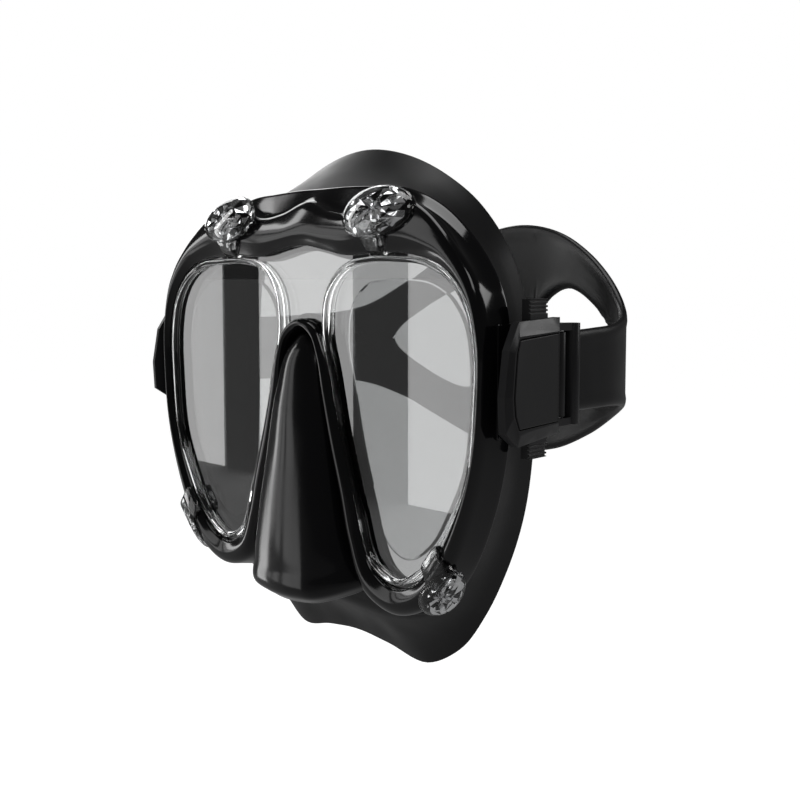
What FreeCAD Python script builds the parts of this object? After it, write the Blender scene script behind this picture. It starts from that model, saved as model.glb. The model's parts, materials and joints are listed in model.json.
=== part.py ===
import FreeCAD, Part
import os
from math import cos, radians, sin, sqrt

# Diving mask: one glass pane in a hard frame, a silicone skirt with a nose pocket,
# clear rings held by four clips, and a split strap on two swivelling buckles.
# Origin: centre of the face seal. +X is the wearer's left, -Y is forwards, +Z is up.

# ---------------------------------------------------------------- driving dimensions, mm
RING_FRONT = -22.0              # front face of the clear rings
RING_WIDTH = 1.4
RING_THICKNESS = 1.7
PANE_FRONT = -20.2
PANE_REAR = -17.2
PANE_OVERLAP = 1.9              # how far the pane reaches under the frame's lip
FIT_GAP = 0.1
INSERT_THICKNESS = 1.6
INSERT_SCALE = (0.8, 0.86)      # of the ring, across and upwards
RING_CENTRE = (38.5, 1.0)       # X, Z
LIP_FRONT = -22.2
CREST_FRONT = -23.6
OUTER_FRONT_Y = -22.2
BROW_START = 46.0               # above this height the brow leans back
BROW_LEAN = 0.3
FRAME_REAR = -14.0
SKIRT_FRONT = -13.8
SKIRT_MIDDLE = -6.0
SKIRT_WALL = 1.8
POCKET_WALL = 1.8
POCKET_REAR = -13.9

PIVOT_Y = -10.9                 # swivel axis of both buckles, parallel to X
PIVOT_Z = 11.0
LUG_INNER_X = 65.3
LUG_OUTER_X = 67.6
LUG_RADIUS = 5.3
SWIVEL_RELIEF = 0.5
SWIVEL_FACE_X = 68.0
STUD_RADIUS = 3.0
STUD_CLEARANCE = 0.05
STUD_HEAD_RADIUS = 3.9
STUD_HEAD_X = 69.2
STUD_HEAD_THICKNESS = 1.1

BUCKLE_X = 72.3                 # where the buckle's outer plane starts
BUCKLE_Y = -17.0
BUCKLE_TOE_IN = 12.0            # degrees, towards the head
BUCKLE_MIDDLE_Z = 11.8
PLATE_DEPTH = 3.0
BODY_DEPTH = 6.4
BODY_RIM = 0.6
RIM_REAR = -1.2                 # back of the wide front plate, before the narrower core
BODY_CROWN = 1.6
COVER_THICKNESS = 1.0
BUTTON_TRAVEL = 1.5
BUTTON_RANGE = (4.2, 11.4)      # along the buckle
BUTTON_FACES = (-1.9, 0.3)      # across the buckle
BUTTON_GAP = 0.3
BUTTON_FOOT = 19.5              # height of the upper button's inner end
BUTTON_TOP = 29.2
RIB_COUNT = 4
RIB_START = 26.0                # height of the lowest groove between the upper button's ribs
RIB_WIDTH = 0.43
SPRING_SEAT = 16.2
SPRING_RADIUS = 1.0
SPRING_WIRE = 0.22
SPRING_TURNS = 4
SPRING_OFFSET = 1.6             # along the buckle, clear of the stud's head
ROLLER_PLACE = (18.6, -1.2)     # along and across the buckle
ROLLER_RADIUS = 1.5
AXLE_RADIUS = 0.6
AXLE_CLEARANCE = 0.05
BAR_PLACE = (23.3, -0.7)
BAR_RADIUS = 1.9
ARM_HEIGHTS = (0.6, 2.2, 21.9, 23.5)
STRAP_THICKNESS = 2.2
STRAP_DEPTH = -4.15             # middle of the strap across the buckle
STRAP_TAIL = 13.2
STRAP_SLOT_FACES = (-5.6, -2.7)
HOUSING_START = 12.0

SCREW_HEAD_RADIUS = 1.7
SCREW_HEAD_HEIGHT = 1.1
SCREW_RADIUS = 0.9
SCREW_LENGTH = 3.6

# half outlines in X, Z, from the brow's centre round one eye to the nose arch
OPENING = [(0, 41.6), (9, 40.5), (18, 39.0), (30, 39.4), (42, 39.0), (53, 36.2),
           (60.8, 29.4), (64.7, 19.5), (64.8, 8), (63, -6), (58.2, -18.5), (51, -30.2),
           (43.5, -37.2), (36.5, -39.4), (29, -36.6), (24.4, -28.5), (21, -17.5), (17, -6),
           (13.2, 6), (9.8, 15.8), (5.6, 21.6), (0, 23.4)]
CREST = [(0, 45.5), (9.3, 44.6), (18.5, 44.3), (31, 45.6), (44, 44), (54.8, 39),
         (62.6, 30.6), (66, 20), (66.2, 7.6), (64.5, -6.6), (60.2, -19.6), (53, -32.3),
         (44.6, -40.4), (36.3, -42.8), (26.6, -39.4), (21.4, -29.4), (18.2, -18.4), (14.4, -7.2),
         (10.9, 5), (8, 14.6), (4.4, 20.2), (0, 22.2)]
OUTER_FRONT = [(0, 52.8), (9.8, 50.4), (19.5, 49.6), (32, 54.2), (45.8, 50.2), (56.8, 41.6),
               (64.4, 32), (66.9, 20.4), (67.1, 7.2), (65.6, -7.2), (61.4, -20.6), (54.4, -34),
               (45.6, -43), (36, -45.6), (24.8, -41.6), (19.2, -30.2), (16, -19.2), (12.4, -8),
               (9.2, 4.2), (6.9, 13.6), (3.8, 18.9), (0, 20.9)]
OUTER_REAR = [(0, 56), (10.4, 56), (20.6, 55.6), (33, 54.6), (46.8, 49.4), (57.6, 41),
              (64.8, 31), (67.3, 20.6), (67.5, 7), (66.1, -7.4), (62, -21.2), (54.8, -34.6),
              (45.6, -43.8), (36, -46.6), (25, -42.6), (19.6, -30.4), (16.4, -19.4), (12.8, -8.2),
              (9.6, 4), (7.3, 13.4), (4.2, 18.6), (0, 20.5)]

RING = [(37, 38.6), (47.6, 37.6), (55.8, 34), (61.6, 27.4), (64.1, 18), (64, 6),
        (61.4, -11.5), (56, -21.8), (46.6, -33.8), (37, -38.4), (28.4, -35.4), (22.6, -23.5),
        (16.7, -8.2), (11.8, 10), (8.9, 20.5), (10.6, 30.6), (17.5, 36.8), (27, 38.6)]

# skirt stations from the top centre to the upper lip
SKIRT_INNER = [(0, 41.6), (15, 39), (30, 39), (43, 38.2), (54, 34.4), (61.2, 26), (62.2, 13),
               (61, -4), (56.4, -18.6), (50, -29.6), (43, -36.6), (34, -39.8), (24, -41.2),
               (12, -41.2), (0, -41.2)]
SKIRT_SHOULDER = [(0, 54), (16.5, 53.8), (31, 52.6), (45.6, 46.6), (57, 38.2), (64, 28.6), (65, 13),
                  (64.4, -4), (61, -19), (53.4, -33.4), (44.8, -43), (34, -47.6), (23, -48.8),
                  (12, -48.8), (0, -48.6)]
SKIRT_RIM = [(0, 67, 0), (16, 64.6, 0.2), (30.4, 58.8, 0.6), (42.8, 50.4, 1.2), (51, 39.4, 2.4),
             (55.2, 26, 3.6), (57, 11, 4.4), (57.2, -6, 4), (55.8, -22, 2.6), (52, -35.5, 1),
             (45.6, -48, 0), (37.4, -58, -0.6), (26.6, -63.8, -2), (12.6, -61.6, -3.2), (0, -60.4, -3.6)]

# nose pocket sections: height at the rear, half width at the front, half width at the rear,
# front Y, how much lower the front is than the rear
POCKET = [(19, 2.8, 3.2, -21.6, 0), (16, 4.8, 5.2, -24, 0.3), (6, 8.2, 8.6, -26.4, 0.6),
          (-10, 12, 13, -27.8, 1.5), (-25, 14.6, 17.3, -29.2, 3), (-35, 16.2, 21.2, -29.8, 5),
          (-39.5, 16.4, 23.2, -29.8, 6), (-42.8, 13.5, 21, -26.6, 5.2)]

# strap stations behind the buckle: X, Y, lower Z, upper Z
STRAP = [(60.2, 20, 2.5, 21.8), (57.2, 31, 2.2, 22.4), (51.5, 41.3, 0.8, 24.6),
         (41.5, 49.2, -3.4, 31.6), (28.5, 54, -9.8, 40.2), (14, 56.4, -15.2, 46.6),
         (0, 57, -17.0, 48.6)]
STRAP_SLOT = [(6.5, 15.5), (9.4, 25.4), (19, 30.4), (31, 26.4), (44, 14.5), (31, 3.6), (19, 0.6), (9.4, 5.6)]

# buckle outlines: distance along the buckle, height
BODY_OUTLINE = [(-0.7, 24.4), (-4.4, 18.4), (-6.0, 8.6), (-5.6, 0.8), (-0.7, -2.4), (15.9, -0.8), (15.9, 25)]
CORE_OUTLINE = [(1.6, 24.0), (-0.6, 18.4), (-1.4, 8.6), (-1.2, 1.2), (1.6, -2.0), (15.9, 0), (15.9, 24.4)]
PANEL_OUTLINE = [(-1.9, 21.3), (-3.5, 17.8), (-4.5, 8.6), (-4.0, 4.4), (-1.9, 0.8), (14.2, 1.6), (14.2, 22.0)]

CLIPS = {
    "top": {"centre": (31.8, -22.6, 49.0), "normal": (0.05, -0.90, 0.42), "along": (1, 0, 0.03),
            "half": (11.5, 6.4, 3.4)},
    "bottom": {"centre": (52.4, -20.6, -37.6), "normal": (0.52, -0.68, -0.52),
               "along": (0.7, 0, 0.7), "half": (7.6, 4.2, 2.8)},
}
CLIP_BASE = -1.2                # depth of a clip's flat underside below its widest level

X_AXIS = FreeCAD.Vector(1, 0, 0)
Y_AXIS = FreeCAD.Vector(0, 1, 0)
Z_AXIS = FreeCAD.Vector(0, 0, 1)
ORIGIN = FreeCAD.Vector(0, 0, 0)


# ---------------------------------------------------------------- helpers
def vec(x, y, z):
    return FreeCAD.Vector(x, y, z)


def mirrored(shape):
    return shape.mirror(ORIGIN, X_AXIS)


def both_sides(shape):
    return Part.makeCompound([shape, mirrored(shape)])


def at_depth(points, y):
    return [vec(x, y, z) for x, z in points]


def between(first, second, share):
    return [a + (b - a) * share for a, b in zip(first, second)]


def pushed(points, distance, closed=False):
    """2D outline moved sideways, to the left of its direction for a positive distance."""
    count = len(points)
    moved = []
    for i, (x, z) in enumerate(points):
        ahead = points[(i + 1) % count] if closed or i < count - 1 else (-points[i - 1][0], points[i - 1][1])
        behind = points[i - 1] if closed or i > 0 else (-points[1][0], points[1][1])
        dx, dz = ahead[0] - behind[0], ahead[1] - behind[1]
        size = sqrt(dx * dx + dz * dz)
        moved.append((x - dz / size * distance, z + dx / size * distance))
    return moved


def station_parameters(rails):
    """One set of spline parameters for all rails, from their mean chord lengths."""
    steps = len(rails[0]) - 1
    lengths = [sum((rail[i + 1] - rail[i]).Length for rail in rails) for i in range(steps)]
    values = [0.0]
    for length in lengths:
        values.append(values[-1] + length / sum(lengths))
    return values[:-1] + [1.0]


def rail_curve(points, parameters, ends_on_mirror=True):
    last = X_AXIS * -1 if ends_on_mirror else points[-1] - points[-2]
    curve = Part.BSplineCurve()
    curve.interpolate(Points=points, Parameters=parameters, InitialTangent=X_AXIS, FinalTangent=last)
    return curve


def ruled_face(first, second):
    """Ruled face between two curves that share their knots."""
    surface = Part.BSplineSurface()
    surface.buildFromPolesMultsKnots([first.getPoles(), second.getPoles()], [2, 2],
                                     first.getMultiplicities(), [0.0, 1.0], first.getKnots(),
                                     False, False, 1, first.Degree)
    return surface.toShape()


def closed_solid(faces):
    shell = Part.makeShell(faces)
    shell.sewShape()
    solid = Part.makeSolid(shell)
    if solid.Volume < 0:
        solid.reverse()
    return solid


def rail_solid(rails, ends_on_mirror=True):
    """Solid symmetric about X = 0, ruled from each rail to the next one round its section.
    Every rail starts on the mirror plane, and ends there too or in a flat end."""
    parameters = station_parameters(rails)
    curves = [rail_curve(points, parameters, ends_on_mirror) for points in rails]
    faces = [ruled_face(first, second) for first, second in zip(curves, curves[1:] + curves[:1])]
    if not ends_on_mirror:
        corners = [points[-1] for points in rails]
        faces.append(Part.Face(Part.makePolygon(corners + corners[:1])))
    return closed_solid(faces + [mirrored(face) for face in faces])


def window_prism(half_outline, front, rear):
    """Prism of an outline that is symmetric about X = 0."""
    points = at_depth(half_outline, front)
    half = rail_curve(points, station_parameters([points])).toShape()
    face = Part.Face(Part.Wire(Part.sortEdges([half, mirrored(half)])[0]))
    return face.extrude(vec(0, rear - front, 0))


def eye_prism(outline, front, rear):
    curve = Part.BSplineCurve()
    curve.interpolate(Points=at_depth(outline, front), PeriodicFlag=True)
    return Part.Face(Part.Wire(curve.toShape())).extrude(vec(0, rear - front, 0))


def block(low, high):
    return Part.makeBox(high[0] - low[0], high[1] - low[1], high[2] - low[2], vec(*low))


def rod_x(x0, x1, y, z, radius):
    return Part.makeCylinder(radius, x1 - x0, vec(x0, y, z), X_AXIS)


def buckle_placed(shape):
    """From buckle axes (X across, Y along, Z up) to the mask's axes, on the left side."""
    turned = shape.copy()
    turned.rotate(ORIGIN, Z_AXIS, BUCKLE_TOE_IN)
    turned.translate(vec(BUCKLE_X, BUCKLE_Y, 0))
    return turned


def buckle_point(along, across):
    angle = radians(BUCKLE_TOE_IN)
    x = BUCKLE_X + across * cos(angle) - along * sin(angle)
    y = BUCKLE_Y + across * sin(angle) + along * cos(angle)
    return x, y


def outline_wire(outline, across):
    points = [vec(across, along, z) for along, z in outline]
    return Part.makePolygon(points + points[:1])


def flat_plate(outline, low, high):
    return Part.Face(outline_wire(outline, low)).extrude(vec(high - low, 0, 0))


def shrunk(outline, distance):
    return pushed(outline, distance, closed=True)


# ---------------------------------------------------------------- front of the mask
def lug():
    """Side lug that carries the swivel stud, and the stud's hole."""
    plate = block((LUG_INNER_X, -17.6, -1.5), (LUG_OUTER_X, FRAME_REAR + 0.4, 23.5))
    bridge = block((LUG_INNER_X, FRAME_REAR, PIVOT_Z - LUG_RADIUS),
                   (LUG_OUTER_X, PIVOT_Y, PIVOT_Z + LUG_RADIUS))
    boss = rod_x(LUG_INNER_X, LUG_OUTER_X, PIVOT_Y, PIVOT_Z, LUG_RADIUS)
    hole = rod_x(LUG_INNER_X - 1, LUG_OUTER_X + 1, PIVOT_Y, PIVOT_Z, STUD_RADIUS)
    return plate.fuse([bridge, boss]), hole


def frame(clips, screws):
    """Rim round the pane, with a lip in front of it, a seat for it and two side lugs."""
    front_y = [OUTER_FRONT_Y + BROW_LEAN * max(z - BROW_START, 0) for x, z in OUTER_FRONT]
    rails = [at_depth(OPENING, LIP_FRONT), at_depth(CREST, CREST_FRONT),
             [vec(x, y, z) for (x, z), y in zip(OUTER_FRONT, front_y)],
             at_depth(OUTER_REAR, FRAME_REAR), at_depth(OPENING, FRAME_REAR)]
    rim = rail_solid(rails)
    ear, hole = lug()
    rim = rim.fuse([ear, mirrored(ear)])
    seat = window_prism(pushed(OPENING, PANE_OVERLAP + FIT_GAP), PANE_FRONT - FIT_GAP, SKIRT_FRONT)
    ring_space = eye_prism(pushed(RING, FIT_GAP, closed=True), CREST_FRONT - 1, PANE_FRONT)
    return rim.cut([seat, hole, mirrored(hole), ring_space, mirrored(ring_space)] + clips + screws)


def lens():
    return window_prism(pushed(OPENING, PANE_OVERLAP), PANE_FRONT, PANE_REAR)


def lens_retainer():
    """Clamp band behind the edge of the pane."""
    front, rear = PANE_REAR, FRAME_REAR
    outer = window_prism(pushed(OPENING, PANE_OVERLAP), front, rear)
    inner = window_prism(pushed(OPENING, -1.2), front - 1, rear + 1)
    return outer.cut(inner)


def lens_ring():
    """Clear trim ring on the pane, round one eye."""
    rear = RING_FRONT + RING_THICKNESS
    outer = eye_prism(RING, RING_FRONT, rear)
    inner = eye_prism(pushed(RING, -RING_WIDTH, closed=True), RING_FRONT - 1, rear + 1)
    return outer.cut(inner)


def optical_insert():
    """Corrective lens bonded to the back of the pane."""
    outline = []
    for x, z in RING:
        outline.append((RING_CENTRE[0] + (x - RING_CENTRE[0]) * INSERT_SCALE[0],
                        RING_CENTRE[1] + (z - RING_CENTRE[1]) * INSERT_SCALE[1]))
    return eye_prism(outline, PANE_REAR, PANE_REAR + INSERT_THICKNESS)


# ---------------------------------------------------------------- clips
def clip_matrix(clip, scale, lift=0.0):
    """Matrix that takes the unit sphere to the clip's drop."""
    normal = vec(*clip["normal"]).normalize()
    along = vec(*clip["along"])
    along = (along - normal * along.dot(normal)).normalize()
    across = normal.cross(along)
    a, b, c = [half * scale for half in clip["half"]]
    start = vec(*clip["centre"]) + normal * lift
    return FreeCAD.Matrix(along.x * a, across.x * b, normal.x * c, start.x,
                          along.y * a, across.y * b, normal.y * c, start.y,
                          along.z * a, across.z * b, normal.z * c, start.z, 0, 0, 0, 1)


def clip_screw(clip):
    normal = vec(*clip["normal"]).normalize()
    start = vec(*clip["centre"]) + normal * (CLIP_BASE + 0.5)
    head = Part.makeCylinder(SCREW_HEAD_RADIUS, SCREW_HEAD_HEIGHT, start, normal)
    shank = Part.makeCylinder(SCREW_RADIUS, SCREW_LENGTH, start, normal * -1)
    return head.fuse(shank)


def clip_reflector(clip):
    """Small mirrored disc under the clear drop, round the screw."""
    disc = Part.makeCylinder(0.8, 0.5 / clip["half"][2], ORIGIN, Z_AXIS)
    return disc.transformGeometry(clip_matrix(clip, 1.0, CLIP_BASE)).cut(clip_screw(clip))


def clip_neck(place):
    """Tab from the ring over the frame's front lip to the drop."""
    if place == "top":
        side = [(RING_FRONT, 38.9), (-23.0, 39.0), (-24.6, 43.6), (-24.0, 46.4), (-21.5, 46.8),
                (-22.6, 44.6), (-21.4, 40.6), (RING_FRONT + 1.2, 38.9)]
        points = [vec(27.7, y, z) for y, z in side]
        return Part.Face(Part.makePolygon(points + points[:1])).extrude(vec(7.6, 0, 0))
    low = at_depth([(48.2, -31.6), (53.2, -25.6), (58.2, -31.6), (51.6, -38.4)], -21.6)
    return Part.Face(Part.makePolygon(low + low[:1])).extrude(vec(0, -2.6, 0))


def clip(place, ring):
    """Clear half drop on the frame, with the neck that holds the ring."""
    data = CLIPS[place]
    drop = Part.makeSphere(1).transformGeometry(clip_matrix(data, 1.0))
    normal = vec(*data["normal"]).normalize()
    slab = Part.makeCylinder(60, 30, vec(*data["centre"]) + normal * CLIP_BASE, normal)
    drop = drop.common(slab).fuse(clip_neck(place))
    return drop.cut([clip_reflector(data), clip_screw(data), ring])


# ---------------------------------------------------------------- silicone
def skirt():
    """Hollow seal from the frame's back to the face, open in front and behind."""
    front = at_depth(SKIRT_INNER, SKIRT_FRONT)
    shoulder = at_depth(SKIRT_SHOULDER, SKIRT_FRONT)
    rim = [vec(x, y, z) for x, z, y in SKIRT_RIM]
    middle = between(shoulder, rim, 0.5)
    for point, (x, z) in zip(middle, SKIRT_SHOULDER):
        point.x -= 0.02 * x
        point.y = (SKIRT_MIDDLE + point.y) / 2
    rails = [front, shoulder, middle, rim]
    inner = []
    for outer in (rim, middle, shoulder):
        flat = pushed([(p.x, p.z) for p in outer], -SKIRT_WALL)
        inner.append([vec(x, p.y, z) for (x, z), p in zip(flat, outer)])
    for point in inner[2]:
        point.y += SKIRT_WALL
    back = at_depth(SKIRT_INNER, SKIRT_FRONT + SKIRT_WALL)
    return rail_solid(rails + inner + [back])


def pocket_section(height, front_half, rear_half, front, drop, rear):
    """Closed flat section, lower in front: a rounded front between two flared sides."""
    shoulder = front + 0.28 * (rear - front)
    points = [(-rear_half, rear), (-front_half, shoulder), (-front_half * 0.7, front + 1.5), (0, front),
              (front_half * 0.7, front + 1.5), (front_half, shoulder), (rear_half, rear)]
    slope = drop / (rear - front)
    curve = Part.BSplineCurve()
    curve.interpolate(Points=[vec(x, y, height - slope * (rear - y)) for x, y in points])
    back = Part.makeLine(vec(rear_half, rear, height), vec(-rear_half, rear, height))
    return Part.Wire([curve.toShape(), back])


def nose_pocket():
    """Closed cup for the nose, open to the back."""
    outer = [pocket_section(*row, POCKET_REAR) for row in POCKET]
    inner = []
    for i, (z, front_half, rear_half, y, drop) in enumerate(POCKET):
        if i in (1, len(POCKET) - 2):
            continue
        height = min(max(z, POCKET[-1][0] + POCKET_WALL), POCKET[0][0] - POCKET_WALL)
        inner.append(pocket_section(height, front_half - POCKET_WALL * 0.9, rear_half - POCKET_WALL,
                                    y + POCKET_WALL, drop, POCKET_REAR + 0.01))
    return Part.makeLoft(outer, True).cut(Part.makeLoft(inner, True))


# ---------------------------------------------------------------- strap
def strap():
    """Band from one buckle round the head to the other, split behind the head."""
    ends = [buckle_point(along, STRAP_DEPTH) for along in (STRAP_TAIL, 20, 27)]
    stations = [(x, y, 2.7, 21.5) for x, y in ends] + STRAP
    stations.reverse()
    path = [(x, y) for x, y, low, high in stations]
    before = [(-path[1][0], path[1][1])]
    after = [(2 * path[-1][0] - path[-2][0], 2 * path[-1][1] - path[-2][1])]
    line = before + path + after
    rails = [[], [], [], []]
    for i, (x, y, low, high) in enumerate(stations):
        dx, dy = line[i + 2][0] - line[i][0], line[i + 2][1] - line[i][1]
        size = sqrt(dx * dx + dy * dy)
        nx, ny = -dy / size * STRAP_THICKNESS / 2, dx / size * STRAP_THICKNESS / 2
        rails[0].append(vec(x + nx, y + ny, low))
        rails[1].append(vec(x + nx, y + ny, high))
        rails[2].append(vec(x - nx, y - ny, high))
        rails[3].append(vec(x - nx, y - ny, low))
    band = rail_solid(rails, ends_on_mirror=False)
    slot = eye_prism(STRAP_SLOT, 20, 70)
    return band.cut([slot, mirrored(slot)])


# ---------------------------------------------------------------- buckle, in buckle axes
def button_block(low, high, gap=0.0):
    return block((BUTTON_FACES[0] - gap, BUTTON_RANGE[0] - gap, low),
                 (BUTTON_FACES[1] + gap, BUTTON_RANGE[1] + gap, high))


def lower(height):
    """Height of the same feature on the buckle's lower half."""
    return 2 * BUCKLE_MIDDLE_Z - height


def buckle_body():
    """Housing with button pockets, strap slot, roller arms and the bore for the stud."""
    crown = Part.makeLoft([outline_wire(BODY_OUTLINE, BODY_RIM),
                           outline_wire(PANEL_OUTLINE, BODY_CROWN)], True, True)
    rear = BODY_OUTLINE[-1][0]
    bar_along, bar_across = BAR_PLACE
    z0, z1, z2, z3 = ARM_HEIGHTS
    housing = block((-BODY_DEPTH, HOUSING_START, z0), (-PLATE_DEPTH, rear, z3))
    bar = Part.makeCylinder(BAR_RADIUS, z3 - z0, vec(bar_across, bar_along, z0), Z_AXIS)
    arms = [block((-BODY_DEPTH, rear - 1, low), (0.4, bar_along, high)) for low, high in ((z0, z1), (z2, z3))]
    core = flat_plate(CORE_OUTLINE, -PLATE_DEPTH, BODY_RIM)
    body = flat_plate(BODY_OUTLINE, RIM_REAR, BODY_RIM).fuse([crown, core, housing, bar] + arms)
    recess = flat_plate(shrunk(PANEL_OUTLINE, 0.5), BODY_CROWN - COVER_THICKNESS, BODY_CROWN + 1)
    slot = block((STRAP_SLOT_FACES[0], STRAP_TAIL - 0.6, 2.3), (STRAP_SLOT_FACES[1], rear + 1, 21.9))
    pockets = [button_block(BUTTON_FOOT - BUTTON_TRAVEL - 0.4, 40, BUTTON_GAP),
               button_block(-20, lower(BUTTON_FOOT - BUTTON_TRAVEL - 0.4), BUTTON_GAP)]
    middle = sum(BUTTON_RANGE) / 2 + SPRING_OFFSET
    across = sum(BUTTON_FACES) / 2
    seats = []
    for low, high in ((SPRING_SEAT, BUTTON_FOOT), (lower(BUTTON_FOOT), lower(SPRING_SEAT))):
        seats.append(Part.makeCylinder(SPRING_RADIUS + 0.4, high - low, vec(across, middle, low), Z_AXIS))
    along, across = ROLLER_PLACE
    axle = Part.makeCylinder(AXLE_RADIUS, 60, vec(across, along, -20), Z_AXIS)
    body = buckle_placed(body.cut([recess, slot, axle] + pockets + seats))
    swivel = block((50, -40, -20), (SWIVEL_FACE_X, PIVOT_Y + LUG_RADIUS + SWIVEL_RELIEF, 40))
    bearing = rod_x(60, 80, PIVOT_Y, PIVOT_Z, STUD_RADIUS + STUD_CLEARANCE)
    counterbore = rod_x(STUD_HEAD_X - STUD_CLEARANCE, 80, PIVOT_Y, PIVOT_Z, STUD_HEAD_RADIUS + 0.3)
    return body.cut([swivel, bearing, counterbore])


def buckle_cover():
    """Inset panel on the buckle's outer face."""
    plate = flat_plate(shrunk(PANEL_OUTLINE, 0.8), BODY_CROWN - COVER_THICKNESS, BODY_CROWN + 0.2)
    return buckle_placed(plate)


def button(top):
    """Ribbed release button at the top or bottom of the buckle."""
    body = button_block(BUTTON_FOOT, BUTTON_TOP)
    ribs = []
    for step in range(RIB_COUNT):
        z = RIB_START + step * 2 * RIB_WIDTH
        ribs.append(block((BUTTON_FACES[1] - RIB_WIDTH, 0, z),
                          (BUTTON_FACES[1] + 1, BUTTON_RANGE[1] + 1, z + RIB_WIDTH)))
    body = body.cut(ribs)
    if not top:
        body = body.mirror(vec(0, 0, BUCKLE_MIDDLE_Z), Z_AXIS)
    return buckle_placed(body)


def button_spring(top):
    height = BUTTON_FOOT - SPRING_SEAT - 2 * SPRING_WIRE
    helix = Part.Wire(Part.makeHelix(height / SPRING_TURNS, height, SPRING_RADIUS))
    start = Part.Wire(Part.makeCircle(SPRING_WIRE, vec(SPRING_RADIUS, 0, 0), Y_AXIS))
    coil = helix.makePipeShell([start], True, True)
    middle = sum(BUTTON_RANGE) / 2 + SPRING_OFFSET
    coil.translate(vec(sum(BUTTON_FACES) / 2, middle, SPRING_SEAT + SPRING_WIRE))
    if not top:
        coil = coil.mirror(vec(0, 0, BUCKLE_MIDDLE_Z), Z_AXIS)
    return buckle_placed(coil)


def roller():
    """Roller that the strap runs over."""
    along, across = ROLLER_PLACE
    low, high = ARM_HEIGHTS[1] + BUTTON_GAP, ARM_HEIGHTS[2] - BUTTON_GAP
    tube = Part.makeCylinder(ROLLER_RADIUS, high - low, vec(across, along, low), Z_AXIS)
    bore = Part.makeCylinder(AXLE_RADIUS + AXLE_CLEARANCE, 40, vec(across, along, -10), Z_AXIS)
    return buckle_placed(tube.cut(bore))


def roller_axle():
    along, across = ROLLER_PLACE
    low, high = ARM_HEIGHTS[0], ARM_HEIGHTS[3]
    return buckle_placed(Part.makeCylinder(AXLE_RADIUS, high - low, vec(across, along, low), Z_AXIS))


def swivel_stud():
    """Headed pin fixed in the frame's lug, on which the buckle turns."""
    shank = rod_x(LUG_INNER_X, STUD_HEAD_X, PIVOT_Y, PIVOT_Z, STUD_RADIUS)
    head = rod_x(STUD_HEAD_X, STUD_HEAD_X + STUD_HEAD_THICKNESS, PIVOT_Y, PIVOT_Z, STUD_HEAD_RADIUS)
    return shank.fuse(head)


# ---------------------------------------------------------------- assembly
def build():
    ring = lens_ring()
    clips = {place: clip(place, ring) for place in CLIPS}
    screws = both_sides(Part.makeCompound([clip_screw(data) for data in CLIPS.values()]))
    reflectors = both_sides(Part.makeCompound([clip_reflector(data) for data in CLIPS.values()]))
    bosses = [clips["top"], clips["bottom"], mirrored(clips["top"]), mirrored(clips["bottom"])]
    rim = frame(bosses + reflectors.Solids, screws.Solids)
    pane = lens()
    nodes = {
        "frame": rim,
        "lens": pane,
        "lens_retainer": lens_retainer(),
        "skirt": skirt(),
        "nose_pocket": nose_pocket().cut([rim, pane]),
        "strap": strap(),
        "clip_screws": screws,
        "clip_reflectors": reflectors,
    }
    paired = {
        "lens_ring": ring,
        "optical_insert": optical_insert(),
        "top_clip": clips["top"],
        "bottom_clip": clips["bottom"],
        "swivel_stud": swivel_stud(),
        "buckle_body": buckle_body(),
        "buckle_cover": buckle_cover(),
        "top_button": button(True),
        "bottom_button": button(False),
        "top_button_spring": button_spring(True),
        "bottom_button_spring": button_spring(False),
        "strap_roller": roller(),
        "roller_axle": roller_axle(),
    }
    for name, shape in paired.items():
        nodes["left_" + name] = shape
        nodes["right_" + name] = mirrored(shape)
    return nodes


os.makedirs("parts", exist_ok=True)
for node, solid in build().items():
    solid.exportStep("parts/" + node + ".step")
    print(node, "valid" if solid.isValid() else "INVALID", len(solid.Solids), round(solid.Volume, 1))
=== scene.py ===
import bmesh
import bpy
import numpy as np
from math import cos, pi, radians, sin
from mathutils import Matrix, Vector
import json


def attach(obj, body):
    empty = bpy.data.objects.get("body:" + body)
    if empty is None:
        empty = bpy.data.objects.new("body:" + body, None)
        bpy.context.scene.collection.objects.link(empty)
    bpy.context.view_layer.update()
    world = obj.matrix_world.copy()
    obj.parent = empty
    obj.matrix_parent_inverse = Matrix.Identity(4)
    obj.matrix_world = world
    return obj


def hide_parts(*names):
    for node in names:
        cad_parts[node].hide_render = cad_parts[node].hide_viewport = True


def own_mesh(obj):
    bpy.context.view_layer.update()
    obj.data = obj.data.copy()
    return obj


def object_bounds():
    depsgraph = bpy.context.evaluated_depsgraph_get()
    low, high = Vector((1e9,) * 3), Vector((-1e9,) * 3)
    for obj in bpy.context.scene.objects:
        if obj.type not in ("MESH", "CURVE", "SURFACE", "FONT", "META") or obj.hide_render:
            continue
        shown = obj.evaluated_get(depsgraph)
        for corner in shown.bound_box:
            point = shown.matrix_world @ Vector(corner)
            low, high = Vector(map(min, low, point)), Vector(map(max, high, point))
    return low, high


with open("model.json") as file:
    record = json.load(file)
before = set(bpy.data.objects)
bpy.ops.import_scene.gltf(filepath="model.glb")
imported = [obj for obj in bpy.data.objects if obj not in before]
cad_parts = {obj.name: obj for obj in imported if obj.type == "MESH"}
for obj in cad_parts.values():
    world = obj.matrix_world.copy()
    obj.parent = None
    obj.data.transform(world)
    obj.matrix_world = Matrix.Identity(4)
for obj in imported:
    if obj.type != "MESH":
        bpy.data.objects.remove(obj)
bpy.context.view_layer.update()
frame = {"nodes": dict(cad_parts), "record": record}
nodes = frame["nodes"]
MM = 0.001

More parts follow.
